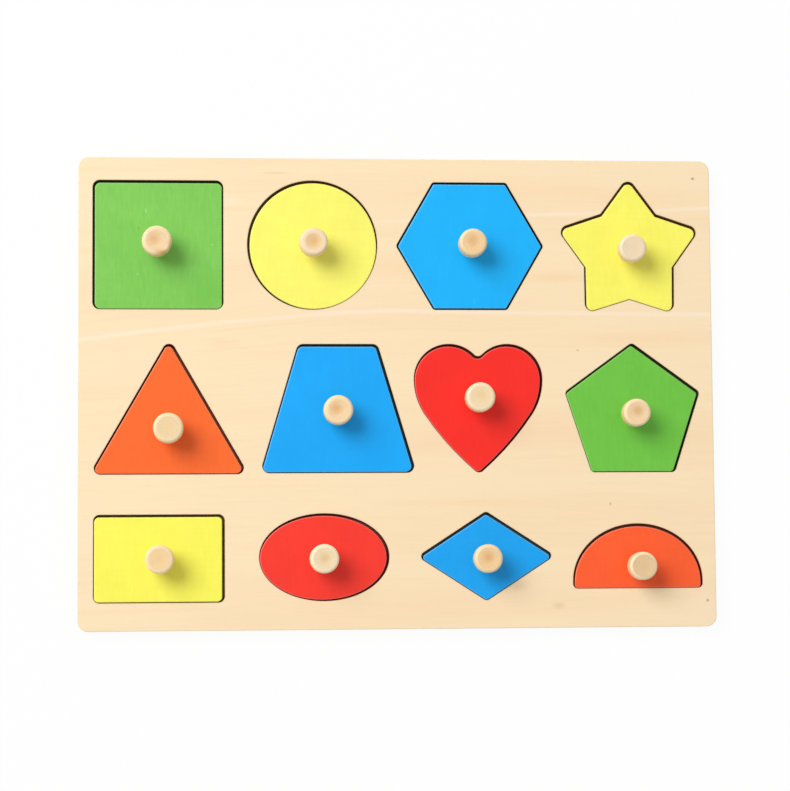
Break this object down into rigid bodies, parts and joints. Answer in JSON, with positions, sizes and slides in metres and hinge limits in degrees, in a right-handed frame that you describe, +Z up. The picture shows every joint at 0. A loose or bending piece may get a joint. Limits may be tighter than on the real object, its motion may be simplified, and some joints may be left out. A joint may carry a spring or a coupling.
{
  "type": "knob shape puzzle",
  "caption": "Wooden knob puzzle for a small child: a flat plywood board whose recesses hold painted geometric shapes, each lifted out by a small turned wooden knob.",
  "frame": {"origin": "centre of the board's underside, on the surface it lies on", "axes": "+X along the board's length, to the right as the picture shows it; +Y to the board's back edge, up in the picture; +Z up, the way the shapes lift out"},
  "size_m": [0.3, 0.222, 0.0228],
  "materials": {
    "frame_plywood": "fine sanded birch plywood, matt clear",
    "backing_plywood": "sanded birch plywood, bare",
    "knob_wood": "turned hardwood, satin clear, end grain on top",
    "green_paint": "plywood under satin green paint",
    "yellow_paint": "plywood under satin yellow paint",
    "blue_paint": "plywood under satin blue paint",
    "red_paint": "plywood under satin red paint",
    "orange_paint": "plywood under satin orange paint"
  },
  "bodies": {
    "board": {"frame_panel": "frame_plywood", "backing_panel": "backing_plywood"},
    "square_piece": {"square_shape": "green_paint", "square_knob": "knob_wood"},
    "circle_piece": {"circle_shape": "yellow_paint", "circle_knob": "knob_wood"},
    "hexagon_piece": {"hexagon_shape": "blue_paint", "hexagon_knob": "knob_wood"},
    "star_piece": {"star_shape": "yellow_paint", "star_knob": "knob_wood"},
    "triangle_piece": {"triangle_shape": "orange_paint", "triangle_knob": "knob_wood"},
    "trapezoid_piece": {"trapezoid_shape": "blue_paint", "trapezoid_knob": "knob_wood"},
    "heart_piece": {"heart_shape": "red_paint", "heart_knob": "knob_wood"},
    "pentagon_piece": {"pentagon_shape": "green_paint", "pentagon_knob": "knob_wood"},
    "rectangle_piece": {"rectangle_shape": "yellow_paint", "rectangle_knob": "knob_wood"},
    "oval_piece": {"oval_shape": "red_paint", "oval_knob": "knob_wood"},
    "rhombus_piece": {"rhombus_shape": "blue_paint", "rhombus_knob": "knob_wood"},
    "semicircle_piece": {"semicircle_shape": "orange_paint", "semicircle_knob": "knob_wood"}
  },
  "joints": [
    {"name": "square_lift", "type": "slide", "parent": "board", "child": "square_piece", "axis": [0, 0, 1], "range_m": [0, 0.04]},
    {"name": "circle_lift", "type": "slide", "parent": "board", "child": "circle_piece", "axis": [0, 0, 1], "range_m": [0, 0.04]},
    {"name": "hexagon_lift", "type": "slide", "parent": "board", "child": "hexagon_piece", "axis": [0, 0, 1], "range_m": [0, 0.04]},
    {"name": "star_lift", "type": "slide", "parent": "board", "child": "star_piece", "axis": [0, 0, 1], "range_m": [0, 0.04]},
    {"name": "triangle_lift", "type": "slide", "parent": "board", "child": "triangle_piece", "axis": [0, 0, 1], "range_m": [0, 0.04]},
    {"name": "trapezoid_lift", "type": "slide", "parent": "board", "child": "trapezoid_piece", "axis": [0, 0, 1], "range_m": [0, 0.04]},
    {"name": "heart_lift", "type": "slide", "parent": "board", "child": "heart_piece", "axis": [0, 0, 1], "range_m": [0, 0.04]},
    {"name": "pentagon_lift", "type": "slide", "parent": "board", "child": "pentagon_piece", "axis": [0, 0, 1], "range_m": [0, 0.04]},
    {"name": "rectangle_lift", "type": "slide", "parent": "board", "child": "rectangle_piece", "axis": [0, 0, 1], "range_m": [0, 0.04]},
    {"name": "oval_lift", "type": "slide", "parent": "board", "child": "oval_piece", "axis": [0, 0, 1], "range_m": [0, 0.04]},
    {"name": "rhombus_lift", "type": "slide", "parent": "board", "child": "rhombus_piece", "axis": [0, 0, 1], "range_m": [0, 0.04]},
    {"name": "semicircle_lift", "type": "slide", "parent": "board", "child": "semicircle_piece", "axis": [0, 0, 1], "range_m": [0, 0.04]}
  ]
}
